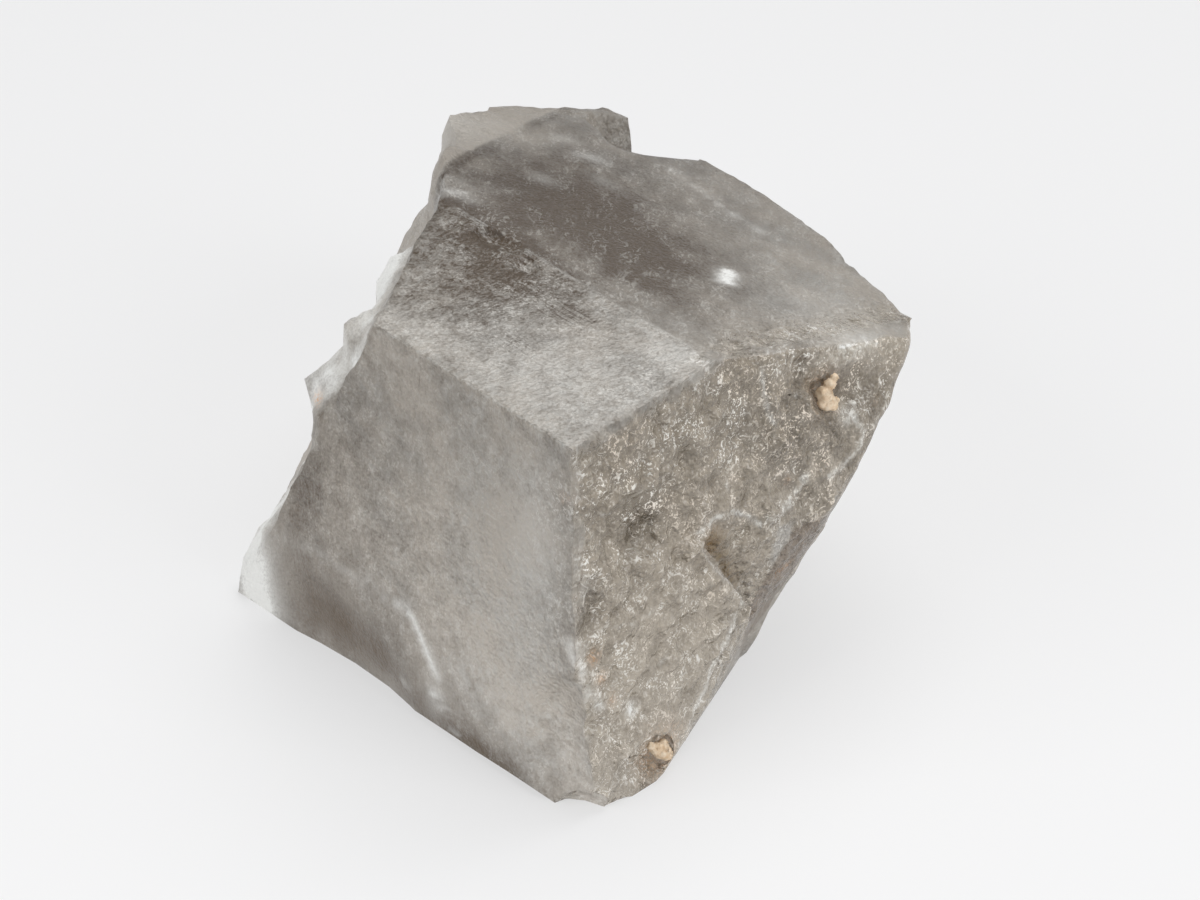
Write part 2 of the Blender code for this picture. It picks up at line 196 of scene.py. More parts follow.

# Ledges on the etched end, each with a painted highlight along its rim and painted shade on its lower
# side: points, half width, strength.
LEDGES = (
    (((16.7, 3.9, 22.3), (16.9, 4.1, 20.2), (17.0, 4.5, 18.9), (17.0, 5.2, 18.0)), 0.17, 0.60),
    (((16.0, 7.2, 22.2), (16.2, 6.5, 20.6), (16.2, 7.2, 19.0), (16.0, 8.4, 17.8)), 0.14, 0.50),
    (((16.0, 12.0, 15.7), (16.2, 12.7, 14.5), (16.3, 12.1, 13.5), (16.5, 11.2, 12.9),
      (16.8, 9.5, 12.9)), 0.20, 0.70),
    (((18.1, -2.1, 14.3), (17.9, -0.4, 14.6), (17.8, 0.9, 14.4), (17.7, 2.2, 13.5),
      (17.5, 3.4, 12.3)), 0.18, 0.80),
    (((17.6, 4.0, 12.6), (17.3, 5.9, 12.7), (16.8, 7.2, 13.0), (16.7, 7.6, 13.6)), 0.26, 0.70),
    (((18.2, 1.8, 8.4), (18.4, 0.7, 6.9), (18.7, -1.0, 5.2), (18.9, -2.5, 3.3),
      (19.3, -5.6, 0.4)), 0.26, 0.60),
    (((18.3, -2.3, 13.9), (18.4, -1.4, 12.2), (18.3, -0.4, 10.7), (18.1, 1.5, 8.7)), 0.12, 0.50),
    (((15.6, 11.2, 20.7), (15.4, 12.6, 20.1), (15.3, 14.6, 19.4)), 0.10, 1.0),
    (((15.2, 16.2, 18.6), (15.2, 16.4, 17.9), (15.2, 17.1, 17.8)), 0.10, 0.9),
    (((18.2, -2.2, 20.6), (17.9, -0.6, 19.2), (17.8, -0.2, 17.6)), 0.13, 0.55),
    (((17.6, 1.0, 19.6), (17.5, 1.3, 17.6), (17.5, 0.6, 15.9)), 0.13, 0.50),
    (((18.6, -9.8, 18.8), (18.3, -8.0, 18.2), (18.1, -6.6, 18.9)), 0.12, 0.45),
    (((17.6, 2.6, 17.6), (17.3, 4.2, 16.2), (17.2, 4.4, 14.6)), 0.14, 0.45),
    (((19.1, -9.4, 11.4), (19.0, -7.4, 10.8), (18.8, -5.6, 11.2)), 0.12, 0.40),
    (((19.0, -8.0, 7.6), (18.9, -6.0, 7.2), (18.8, -3.6, 7.9)), 0.12, 0.40),
)
SHADED_SIDE = Vector((0.0, 0.22, -0.24))

# Clusters of painted glints on the etched end: centre, half sizes, strength.
GLINT_CLUSTERS = (
    ((18.1, -11.6, 20.2), (1.2, 1.0, 1.4), 0.9),
    ((18.2, -8.2, 20.9), (1.2, 1.4, 0.8), 0.7),
    ((18.0, -5.4, 17.4), (1.2, 1.4, 0.9), 1.0),
    ((17.8, -3.4, 21.6), (1.2, 1.6, 0.7), 0.7),
    ((17.5, 1.8, 19.4), (1.2, 1.4, 2.2), 0.9),
    ((17.2, 4.4, 20.6), (1.2, 0.7, 2.6), 0.7),
    ((16.6, 6.6, 22.4), (1.2, 1.6, 0.7), 0.6),
    ((16.9, 5.6, 17.2), (1.2, 2.0, 1.4), 0.7),
    ((16.8, -13.0, 19.4), (1.6, 1.0, 2.2), 0.5),
    ((18.2, -13.0, 13.5), (1.2, 1.0, 3.0), 0.35),
    ((12.0, -13.0, 20.0), (3.0, 1.0, 2.2), 0.22),
    ((8.0, -6.0, 24.6), (5.0, 5.0, 0.8), 0.15),
    ((15.8, -5.0, 24.4), (1.6, 5.0, 0.9), 0.5),
    ((14.2, 11.0, 21.4), (2.4, 5.0, 1.2), 0.45),
    ((19.3, -10.6, 5.6), (1.2, 0.9, 2.0), 0.8),
    ((19.0, -11.4, 15.4), (1.2, 0.9, 1.2), 0.7),
    ((18.8, -5.0, 5.8), (1.2, 1.4, 0.7), 0.7),
    ((19.4, -8.6, 1.6), (1.2, 2.0, 1.2), 0.6),
)

# Where the stone is smooth and glassy instead of mottled: centre, half sizes, strength.
SMOOTH = (
    ((-3.0, -13.0, 2.6), (10.0, 3.0, 4.0), 0.9),
    ((10.0, -13.0, 0.6), (9.0, 3.0, 2.6), 0.6),
    ((-8.0, -13.0, 12.0), (5.0, 3.0, 9.0), 0.45),
    ((-9.0, 9.0, 22.5), (9.0, 6.0, 4.0), 0.35),
    ((15.5, 3.0, 5.0), (3.0, 3.0, 5.0), 0.8),
    ((13.5, 8.5, 6.5), (4.0, 3.2, 3.6), 0.9),
    ((17.2, 2.6, 21.0), (1.0, 1.0, 1.6), 0.6),
)

# The rim where the left and top faces meet the far break; whitish lips stand beyond it.
FAR_RIM = (
    (-12.5, -12.9, 0.0), (-10.97, -12.83, 3.07), (-8.99, -12.62, 7.5), (-7.05, -12.45, 11.15),
    (-5.34, -12.27, 14.98), (-2.8, -12.11, 18.44), (0.3, -11.84, 24.4), (-7.5, -2.5, 24.6),
)
RIM_LINE = 0.35
LIP_REACH = 5.0

# Bundles of fine dark strokes on the top face: centre, half sizes, strength.
STROKES = (
    ((7.6, -3.0, 24.6), (1.5, 1.0, 1.0), 1.0),
    ((7.9, -7.2, 24.5), (1.5, 0.8, 1.0), 0.8),
    ((-1.6, -0.6, 24.8), (2.6, 1.5, 1.2), 1.0),
    ((2.4, -2.6, 24.7), (2.0, 1.0, 1.0), 0.7),
    ((12.5, -7.0, 24.2), (1.5, 1.0, 1.0), 0.5),
)

# Orange and peach stains: centre, half sizes, strength.
STAINS = (
    ((16.0, 6.0, 7.6), (0.45, 0.45, 0.45), 1.1),
    ((15.7, 6.9, 7.3), (0.35, 0.35, 0.35), 0.8),
    ((15.6, 13.9, 16.0), (0.35, 0.35, 0.35), 0.7),
    ((16.6, -1.6, 13.2), (1.3, 1.3, 1.3), 0.45),
    ((19.3, -10.7, 8.6), (0.40, 0.40, 0.40), 0.7),
    ((19.3, -11.2, 10.2), (0.45, 0.45, 0.45), 0.6),
    ((19.4, -10.0, 6.9), (0.35, 0.35, 0.35), 0.6),
    ((18.1, -12.0, 20.6), (0.35, 0.35, 0.35), 0.5),
    ((17.1, 6.0, 14.0), (0.28, 0.28, 0.28), 0.6),
    ((-5.6, -11.4, 16.4), (0.40, 0.40, 0.40), 0.8),
    ((19.4, -6.3, 1.7), (1.6, 1.6, 1.6), 0.45),
    ((15.9, 9.8, 18.2), (1.3, 1.3, 1.3), 0.30),
)

# Facets of the notch, as corners across the end (y, z), and the painted shadow beside its plate.
NOTCH_FLOOR = ((-2.1, 13.9), (-0.2, 14.2), (3.3, 12.0), (5.0, 9.4), (4.6, 6.4), (1.7, 8.2))
NOTCH_SLOPE = ((3.4, 12.1), (6.8, 10.9), (5.4, 9.0), (4.4, 7.2), (4.6, 9.2))
NOTCH_WALL = ((6.6, 10.6), (10.8, 9.9), (8.0, 4.6), (5.0, 1.2), (3.6, 3.6), (4.1, 6.8), (5.2, 8.9))
PLATE_SHADOW = ((-2.3, 14.0), (-0.9, 14.3), (2.6, 8.6), (1.6, 8.0))


def direction_of(turn, tip):
    """The way a face looks, from its turn about the crystal's length and its tip along it."""
    turn, tip = radians(turn), radians(tip)
    return Vector((sin(tip), cos(tip) * cos(turn), cos(tip) * sin(turn)))


crystal_faces = {
    name: (direction_of(turn, tip), reach) for name, (turn, tip, reach) in CRYSTAL_FACES.items()
}


def depth_below(point, face):
    """How far inside a flat face a point lies, in millimetres."""
    outward, reach = crystal_faces[face]
    return reach - outward.dot(point)


def fading(gap):
    """1 at no gap, falling smoothly to about 0 at 3."""
    return exp(-gap * gap)


def skin(point, face, reach):
    """1 on a flat face, falling to 0 below it."""
    return fading(depth_below(point, face) / reach)


def patches(point, marks):
    """The soft patches of a list, added up at a point."""
    total = 0.0
    for centre, half, strength in marks:
        gap = Vector((point[axis] - centre[axis]) / half[axis] for axis in range(3))
        total += strength * fading(gap.length)
    return total


def nearest_on_line(point, line):
    """The place on a bent line that is nearest to a point."""
    best, best_gap = None, 1e9
    for start, end in zip(line, line[1:]):
        start, along = Vector(start), Vector(end) - Vector(start)
        t = max(0.0, min(1.0, (point - start).dot(along) / along.length_squared))
        place = start + along * t
        gap = (point - place).length
        if gap < best_gap:
            best, best_gap = place, gap
    return best


def lines(point, marks):
    """The soft lines of a list, added up at a point."""
    total = 0.0
    for line, half_width, strength in marks:
        total += strength * fading((point - nearest_on_line(point, line)).length / half_width)
    return total


def beyond_rim(point):
    """0 on the near side of the far rim, 1 on the lips past it, and 0 again far below."""
    rim = nearest_on_line(point, FAR_RIM)
    past = max(0.0, min(1.0, (rim.x - point.x - 0.1) / 0.8))
    return past * fading((point - rim).length / LIP_REACH)


def etched_share(point, normal):
    """1 on the etched end and its shoulder, 0 on the plain faces, with a ragged border."""
    end = crystal_faces["end"][0]
    facing = max(0.0, min(1.0, (normal.dot(end) - 0.35) / 0.3))
    facing = max(facing, 0.6 * skin(point, "shoulder", 0.45))
    near = max(skin(point, "end", ETCH_REACH), skin(point, "shoulder", SHOULDER_REACH))
    share = facing * min(1.0, 1.3 * near)
    margin = min(depth_below(point, "left"), depth_below(point, "top"))
    margin += 1.5 * noise.noise(point / 1.1)
    return share * max(0.12, min(1.0, 0.2 + 0.7 * margin))


def calm_border(point):
    """Near 0 where the end meets its straight borders, so that they stay straight."""
    gap = min(depth_below(point, face) for face in ("undercut", "right", "left"))
    return max(0.15, min(1.0, gap / 0.9))


def slabs(point, size, turn):
    """Height of flat slabs of one size, each tipped its own way."""
    place = point / size
    cell = noise.voronoi(place)[1][0]
    return noise.noise_vector(cell * turn).dot(place - cell)


def etched_cups(point):
    """Height of the end's small cups: each is a hollow, and they meet in sharp rims."""
    warped = point + 0.22 * noise.noise_vector(point / 0.9)
    wide = noise.voronoi(warped / WIDE_CUP)[0][0]
    small = noise.voronoi(warped / SMALL_CUP + Vector((7, 3, 5)))[0][0]
    ledges = slabs(point + LEDGE * Vector((2, 9, 4)), LEDGE, 5.3)
    return WIDE_CUP_HEIGHT * wide * wide + SMALL_CUP_HEIGHT * small * small + LEDGE_HEIGHT * ledges


def break_relief(point):
    """Height of the breaks' small steps, swells and ripples."""
    steps = BREAK_STEP_HEIGHT * slabs(point, BREAK_STEP, 3.1)
    swells = BREAK_SWELL_HEIGHT * noise.noise(point / BREAK_SWELL)
    return steps + swells + BREAK_RIPPLE_HEIGHT * noise.noise(point / BREAK_RIPPLE)


# A fixed seed, so that the relief is the same at every run.
RELIEF_SEED = 11
noise.seed_set(RELIEF_SEED)

crystal_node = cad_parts["crystal"]
bm = bmesh.new()
bm.from_mesh(crystal_node.data)
bmesh.ops.remove_doubles(bm, verts=bm.verts[:], dist=1e-7)
bmesh.ops.scale(bm, verts=bm.verts[:], vec=Vector((1000, 1000, 1000)))
bmesh.ops.translate(bm, verts=bm.verts[:], vec=MEASURED_FROM)
bm.normal_update()

for _ in range(CUTTING_ROUNDS):
    long_edges = []
    for edge in bm.edges:
        a, b = edge.verts
        middle = (a.co + b.co) / 2
        share = etched_share(middle, (a.normal + b.normal).normalized())
        wanted = ETCHED_EDGE if share > 0.08 else PLAIN_EDGE
        if edge.calc_length() > TOO_LONG * wanted:
            long_edges.append(edge)
    if not long_edges:
        break
    bmesh.ops.subdivide_edges(bm, edges=long_edges, cuts=1)
    many_sided = [face for face in bm.faces if len(face.verts) > 3]
    bmesh.ops.triangulate(bm, faces=many_sided)
    bm.normal_update()

crease = []
for vert in bm.verts:
    beside_end = abs(depth_below(vert.co, "end"))
    gap = beside_end + abs(depth_below(vert.co, "shoulder"))
    border = beside_end + min(abs(depth_below(vert.co, face)) for face in ("undercut", "right"))
    if vert.co.y > 2.0 and (gap < CREASE_ROUNDING or border < BORDER_ROUNDING):
        crease.append(vert)
for _ in range(ROUNDING_STEPS):
    bmesh.ops.smooth_vert(
        bm, verts=crease, factor=0.5, use_axis_x=True, use_axis_y=True, use_axis_z=True)
bm.normal_update()

layers = {}
for name in ("etched", "smoke_and_shade", "frost_and_highlight", "stain", "strokes", "cavity_shade", "glint_clusters", "mottled"):
    layers[name] = bm.verts.layers.float.new(name)

moves = {}
for vert in bm.verts:
    point = vert.co.copy()
    etched = etched_share(point, vert.normal)
    broken = max(skin(point, face, 1.5) for face in ("far_break", "far_tip"))
    broken = max(broken, 0.5 * max(skin(point, face, 1.0) for face in ("undercut", "right", "back")))
    broken *= 1.0 - etched
    # Smoke, with painted shade on the ledges' lower sides and a darker line along the far rim.
    smoke_and_shade = patches(point, SMOKE_AND_PIT_SHADE) + 0.6 * lines(point - SHADED_SIDE, LEDGES)
    smoke_and_shade += 0.55 * fading((point - nearest_on_line(point, FAR_RIM)).length / RIM_LINE)
    # Painted shade on the side of the end's plate, below the end.
    if depth_below(point, "end") > 0.9 and point.x > 8.0:
        smoke_and_shade += 0.55 * skin(point, "plate_side", 0.6)
    # Frost and white wisps, with a painted highlight along each ledge's rim.
    frost_and_highlight = patches(point, FROST) + lines(point, WISPS) + lines(point, LEDGES)
    frost_and_highlight += (0.9 + 0.9 * noise.noise(point * 0.9)) * beyond_rim(point)
    calm_face = max(skin(point, face, 0.5) for face in ("left", "right_top"))
    calm_face *= 1.0 - min(1.0, skin(point, "end", 4.0) + skin(point, "top", 1.0))
    cups = etched_cups(point) - CUP_LEVEL
    vert[layers["etched"]] = etched
    vert[layers["smoke_and_shade"]] = smoke_and_shade
    vert[layers["frost_and_highlight"]] = frost_and_highlight
    vert[layers["stain"]] = patches(point, STAINS)
    vert[layers["strokes"]] = patches(point, STROKES)
    vert[layers["glint_clusters"]] = patches(point, GLINT_CLUSTERS)
    vert[layers["mottled"]] = max(0.0, 1.0 - patches(point, SMOOTH)) * (1.0 - 0.2 * calm_face)
    # Painted shade in the cups' hollows and painted light on their rims, from the cups' heights.
    vert[layers["cavity_shade"]] = etched * cups / 0.2
    height = 0.0
    if etched > 0.01:
        height += etched * calm_border(point) * cups
    if broken > 0.02:
        height += broken * (break_relief(point) - BREAK_LEVEL)
    moves[vert] = vert.normal * height * min(1.0, point.z / BED_FADE)
for vert, move in moves.items():
    vert.co += move
    vert.co.z = max(vert.co.z, MEASURED_FROM.z)

bmesh.ops.translate(bm, verts=bm.verts[:], vec=-MEASURED_FROM)
bmesh.ops.scale(bm, verts=bm.verts[:], vec=Vector((MM, MM, MM)))
crystal_mesh = bpy.data.meshes.new("danburite_crystal")
bm.to_mesh(crystal_mesh)
bm.free()
for polygon in crystal_mesh.polygons:
    polygon.use_smooth = True
crystal_mesh.set_sharp_from_angle(angle=SHARP_ANGLE)
crystal = bpy.data.objects.new("danburite_crystal", crystal_mesh)
bpy.context.scene.collection.objects.link(crystal)


def new_material(name):
    """A new material, its node tree and its main shader."""
    material = bpy.data.materials.new(name)
    material.use_nodes = True
    tree = material.node_tree
    return material, tree, tree.nodes["Principled BSDF"]


def join(tree, source, target):
    tree.links.new(source, target)


def in_millimetres(tree, shift):
    """Object coordinates in millimetres, counted from the place that the lists use."""
    place = tree.nodes.new("ShaderNodeTexCoord")
    scaled = tree.nodes.new("ShaderNodeMapping")
    scaled.inputs["Scale"].default_value = (1000, 1000, 1000)
    scaled.inputs["Location"].default_value = shift
    join(tree, place.outputs["Object"], scaled.inputs["Vector"])
    return scaled.outputs["Vector"]


def noise_of(tree, vector, scale, detail, rough, twist=0.0):
    """A soft random pattern, from 0 to 1, mostly near its middle."""
    node = tree.nodes.new("ShaderNodeTexNoise")
    node.inputs["Scale"].default_value = scale
    node.inputs["Detail"].default_value = detail
    node.inputs["Roughness"].default_value = rough
    node.inputs["Distortion"].default_value = twist
    join(tree, vector, node.inputs["Vector"])
    return node.outputs["Fac"]


def ranged(tree, value, low, high, to_low, to_high):
    """A value mapped from one range to another, and held inside it."""
    node = tree.nodes.new("ShaderNodeMapRange")
    node.inputs["From Min"].default_value = low
    node.inputs["From Max"].default_value = high
    node.inputs["To Min"].default_value = to_low
    node.inputs["To Max"].default_value = to_high
    join(tree, value, node.inputs["Value"])
    return node.outputs["Result"]


def reckon(tree, how, first, second):
    """Two values, or a value and a number, put together."""
    node = tree.nodes.new("ShaderNodeMath")
    node.operation = how
    for socket, value in zip(node.inputs, (first, second)):
        if isinstance(value, (int, float)):
            socket.default_value = value
        else:
            join(tree, value, socket)
    return node.outputs["Value"]


def added(tree, first, *more):
    """Values added up, in their order."""
    total = first
    for value in more:
        total = reckon(tree, "ADD", total, value)
    return total


def times(tree, first, second):
    return reckon(tree, "MULTIPLY", first, second)


def less(tree, first, second):
    return reckon(tree, "SUBTRACT", first, second)


def held(tree, value):
    """A value held between 0 and 1."""
    return ranged(tree, value, 0.0, 1.0, 0.0, 1.0)


def swing(tree, pattern, spread, push):
    """A pattern's distance from its middle, as a push to both sides."""
    return ranged(tree, pattern, 0.5 - spread, 0.5 + spread, -push, push)


def mixed(tree, share, first, second):
    """Two colours mixed by a share; each is a socket or a plain colour."""
    node = tree.nodes.new("ShaderNodeMix")
    node.data_type = "RGBA"
    for socket, value in zip((node.inputs[0], node.inputs[6], node.inputs[7]), (share, first, second)):
        if isinstance(value, (int, float)):
            socket.default_value = value
        elif isinstance(value, tuple):
            socket.default_value = (*value, 1.0)
        else:
            join(tree, value, socket)
    return node.outputs[2]


def painted(tree, name):
    """A value that was laid on the mesh under a name."""
    node = tree.nodes.new("ShaderNodeAttribute")
    node.attribute_name = name
    return node.outputs["Fac"]


def cells_of(tree, vector, scale):
    """A pattern of cells, with a random value for each cell."""
    node = tree.nodes.new("ShaderNodeTexVoronoi")
    node.inputs["Scale"].default_value = scale
    join(tree, vector, node.inputs["Vector"])
    return added(tree, node.outputs["Color"], 0.0)


def pushed(tree, push, amount, vector):
    """A vector with a push added to it, times an amount along each axis."""
    node = tree.nodes.new("ShaderNodeVectorMath")
    node.operation = "MULTIPLY_ADD"
    join(tree, push, node.inputs[0])
    node.inputs[1].default_value = amount
    join(tree, vector, node.inputs[2])
    return node.outputs["Vector"]


def wandering(tree, vector, scale, reach):
    """The vector pushed about by soft noise, so that straight borders become curved ones."""
    node = tree.nodes.new("ShaderNodeTexNoise")
    node.inputs["Scale"].default_value = scale
    node.inputs["Detail"].default_value = 1.0
    join(tree, vector, node.inputs["Vector"])
    return pushed(tree, node.outputs["Color"], (reach, reach, reach), vector)


def stretched(tree, vector, scale):
    node = tree.nodes.new("ShaderNodeMapping")
    node.inputs["Scale"].default_value = scale
    join(tree, vector, node.inputs["Vector"])
    return node.outputs["Vector"]


def dot_with(tree, vector, direction):
    node = tree.nodes.new("ShaderNodeVectorMath")
    node.operation = "DOT_PRODUCT"
    join(tree, vector, node.inputs[0])
    node.inputs[1].default_value = direction
    return node.outputs["Value"]


def depth_node(tree, vector, face):
    """How far inside a flat face a shaded place lies, in millimetres."""
    outward, reach = crystal_faces[face]
    return less(tree, reach, dot_with(tree, vector, outward))


def near_zero(tree, value, width):
    """1 where a value is 0, falling to 0 once it passes a width."""
    return ranged(tree, reckon(tree, "ABSOLUTE", value, 0.0), 0.0, width, 1.0, 0.0)


def arcs_of(tree, vector, scale, rings, width):
    """Thin curved lines that follow the levels of a soft noise."""
    level = times(tree, noise_of(tree, vector, scale, 1.0, 0.5, 0.8), rings)
    return near_zero(tree, reckon(tree, "PINGPONG", level, 0.5), width)


def textured(tree, shader, height, strength, distance):
    """Fine relief on a shader, from a pattern of heights."""
    relief = tree.nodes.new("ShaderNodeBump")
    relief.inputs["Strength"].default_value = strength
    relief.inputs["Distance"].default_value = distance
    join(tree, height, relief.inputs["Height"])
    join(tree, relief.outputs["Normal"], shader.inputs["Normal"])


def inside_corners(tree, vector, corners, soft):
    """1 inside an outline of corners (y, z), 0 outside it, with a soft border."""
    axes = tree.nodes.new("ShaderNodeSeparateXYZ")
    join(tree, vector, axes.inputs["Vector"])
    middle = sum((Vector(corner) for corner in corners), Vector((0.0, 0.0))) / len(corners)
    share = ranged(tree, axes.outputs["X"], 8.0, 9.0, 0.0, 1.0)
    for start, end in zip(corners, corners[1:] + corners[:1]):
        start, along = Vector(start), (Vector(end) - Vector(start)).normalized()
        inward = Vector((-along.y, along.x))
        if inward.dot(middle - start) < 0.0:
            inward = -inward
        depth = less(tree, dot_with(tree, vector, (0.0, inward.x, inward.y)), inward.dot(start))
        share = reckon(tree, "MINIMUM", share, ranged(tree, depth, -soft, soft, 0.0, 1.0))
    return share


# What shows through the right top face lies deep, so its patterns are drawn out along a slant.
SLANT = (0.68, -0.703, 0.208)
SLANT_STRETCH = 0.62
# Where the right top face runs on past the far rim as a pale block.
BEYOND_RIM = (-0.882, -0.472, 0.0)
BEYOND_REACH = 9.14
# How the fine dark strokes run across the top face; the top face is painted a little lighter, as lit
# from above, and the right top face darker, partly smoke and partly painted shade.
STROKE_RUN = (0.55, 5.5, 2.0)
TOP_PAINTED_LIGHT = -0.08
RIGHT_TOP_SMOKE_AND_SHADE = 0.18

MILKY_WARM = (0.60, 0.545, 0.475)
MILKY_COOL = (0.565, 0.55, 0.515)
BEIGE = (0.60, 0.545, 0.475)
NOTCH_SHADOW_BROWN = (0.20, 0.135, 0.060)
NOTCH_STONE = (0.34, 0.285, 0.215)
WALL_PAINTED_SHADE = (0.20, 0.15, 0.108)
SMOKY = (0.066, 0.041, 0.021)
ETCHED_DARK = (0.125, 0.095, 0.060)
ETCHED_LIGHT = (0.66, 0.585, 0.475)
RIM_AND_GLINT_WHITE = (0.94, 0.92, 0.87)
RIM_PEACH = (0.84, 0.64, 0.45)
FROST_WHITE = (0.88, 0.88, 0.85)
STAIN_ORANGE = (0.62, 0.30, 0.10)
INSIDE_TINT = (0.66, 0.62, 0.56, 1.0)
INSIDE_DENSITY = 40.0
DANBURITE_IOR = 1.63

danburite, tree, shader = new_material("smoky_danburite")
flat_spot = in_millimetres(tree, MEASURED_FROM)

# Which flat face a place is on: the one that it lies least far inside.
below_left = depth_node(tree, flat_spot, "left")
below_top = depth_node(tree, flat_spot, "top")
below_right = depth_node(tree, flat_spot, "right_top")
etched = painted(tree, "etched")
on_top = times(
    tree,
    ranged(tree, less(tree, below_left, below_top), -0.04, 0.04, 0.0, 1.0),
    ranged(tree, less(tree, below_right, below_top), -0.04, 0.04, 0.0, 1.0))
on_right = times(
    tree,
    ranged(tree, less(tree, below_top, below_right), -0.03, 0.03, 0.0, 1.0),
    ranged(tree, etched, 0.44, 0.46, 1.0, 0.0))
along = times(tree, dot_with(tree, flat_spot, SLANT), times(tree, on_right, -SLANT_STRETCH))
spot = pushed(tree, along, SLANT, flat_spot)

# Patterns in the stone, at four sizes, and the cells and curved lines of its etching.
clouds = noise_of(tree, flat_spot, 0.22, 2.0, 0.5)
blotches = noise_of(tree, spot, 0.75, 2.0, 0.55)
mottle = noise_of(tree, spot, 2.3, 3.0, 0.62, 0.8)
grit = noise_of(tree, spot, 6.5, 1.0, 0.6)
curled = wandering(tree, spot, 1.6, 0.5)
cell_shade = cells_of(tree, curled, 3.0)
wide_arcs = arcs_of(tree, spot, 0.8, 5.0, 0.17)
fine_arcs = arcs_of(tree, curled, 1.9, 4.0, 0.20)
mottled = painted(tree, "mottled")
glint_clusters = painted(tree, "glint_clusters")

# Bright curved rims, partly whitish stone and partly painted highlight, and painted glints on small
# facets, in clusters.
crowd = added(tree, ranged(tree, blotches, 0.44, 0.60, 0.0, 0.80), glint_clusters)
crowd = ranged(tree, crowd, 0.0, 1.0, 0.10, 1.0)
strands = reckon(
    tree, "MAXIMUM",
    times(tree, wide_arcs, ranged(tree, mottle, 0.50, 0.54, 0.0, 1.2)),
    times(tree, fine_arcs, ranged(tree, grit, 0.53, 0.57, 0.0, 1.2)))
# Painted glints: a few bright cells, broken up by the grit.
painted_glints = times(
    tree,
    ranged(tree, cell_shade, 0.74, 0.76, 0.0, 1.0),
    ranged(tree, times(tree, grit, mottle), 0.26, 0.31, 0.0, 1.0))
rims_and_glints = times(tree, reckon(tree, "MAXIMUM", strands, painted_glints), crowd)

worn_edge = reckon(
    tree, "MAXIMUM",
    near_zero(tree, added(tree, below_left, below_top), 0.12),
    near_zero(tree, added(tree, below_right, below_top), 0.08))
worn_edge = times(tree, worn_edge, ranged(tree, mottle, 0.42, 0.58, 0.0, 0.45))

# Plain faces: milky stone, smoke with painted shade and light, and a mottle that fades where the stone
# is glassy.
busy = added(
    tree,
    swing(tree, blotches, 0.18, -0.34),
    swing(tree, mottle, 0.18, -0.30),
    swing(tree, grit, 0.20, -0.20),
    times(tree, fine_arcs, ranged(tree, mottle, 0.40, 0.48, 0.20, 0.0)))
busy = times(tree, times(tree, busy, mottled), ranged(tree, on_right, 0.0, 1.0, 1.0, 0.6))
strokes = noise_of(tree, stretched(tree, flat_spot, STROKE_RUN), 1.0, 2.0, 0.5, 0.2)
strokes = times(tree, painted(tree, "strokes"), ranged(tree, strokes, 0.51, 0.57, 0.0, 1.0))
beyond = less(tree, dot_with(tree, flat_spot, BEYOND_RIM), BEYOND_REACH)
rim_shadow = times(tree, near_zero(tree, added(tree, beyond, 0.5), 0.7), on_right)
smoke_and_shade = added(
    tree,
    painted(tree, "smoke_and_shade"),
    swing(tree, clouds, 0.20, 0.16),
    busy,
    # The top face painted lighter, and the right top face darker, partly smoke and partly painted
    # shade.
    times(tree, on_top, TOP_PAINTED_LIGHT),
    times(tree, on_right, RIGHT_TOP_SMOKE_AND_SHADE),
    times(tree, rim_shadow, 0.35),
    strokes)
smoke_and_shade = ranged(tree, smoke_and_shade, -0.3, 1.2, 0.0, 1.0)
hue = added(
    tree,
    ranged(tree, clouds, 0.35, 0.65, 0.0, 0.6),
    swing(tree, mottle, 0.15, 0.35),
    times(tree, on_top, 0.3))
stone = mixed(tree, smoke_and_shade, mixed(tree, held(tree, hue), MILKY_WARM, MILKY_COOL), SMOKY)
# The same painted highlights and glints, fainter, on the plain faces.
faint = times(tree, rims_and_glints, added(tree, times(tree, mottled, 0.45), glint_clusters))
stone = mixed(tree, held(tree, faint), stone, RIM_AND_GLINT_WHITE)
stone = mixed(tree, worn_edge, stone, FROST_WHITE)
beige_share = times(tree, ranged(tree, beyond, -0.1, 0.2, 0.0, 0.75), on_right)
stone = mixed(tree, beige_share, stone, BEIGE)

# The etched end: warm stone with dark little hollows and bright curved rims; the hollows carry painted
# shade, and the rims partly painted highlights and glints.
hollows = added(
    tree,
    swing(tree, grit, 0.15, 0.10),
    swing(tree, mottle, 0.15, 0.24),
    swing(tree, blotches, 0.15, 0.26),
    swing(tree, cell_shade, 0.30, 0.10))
hollows = times(tree, hollows, ranged(tree, mottled, 0.0, 1.0, 0.4, 1.0))
# Painted shade in the cups' hollows, painted light on their rims.
hollows = added(tree, hollows, times(tree, painted(tree, "cavity_shade"), 0.35))
hollows = less(tree, hollows, painted(tree, "smoke_and_shade"))
hollows = ranged(tree, hollows, -1.2, 0.8, 0.0, 1.0)
etched_stone = mixed(tree, hollows, ETCHED_DARK, ETCHED_LIGHT)
rim_and_glint_colour = mixed(tree, ranged(tree, clouds, 0.45, 0.60, 0.0, 0.45), RIM_AND_GLINT_WHITE, RIM_PEACH)
etched_stone = mixed(tree, rims_and_glints, etched_stone, rim_and_glint_colour)
stone = mixed(tree, etched, stone, etched_stone)

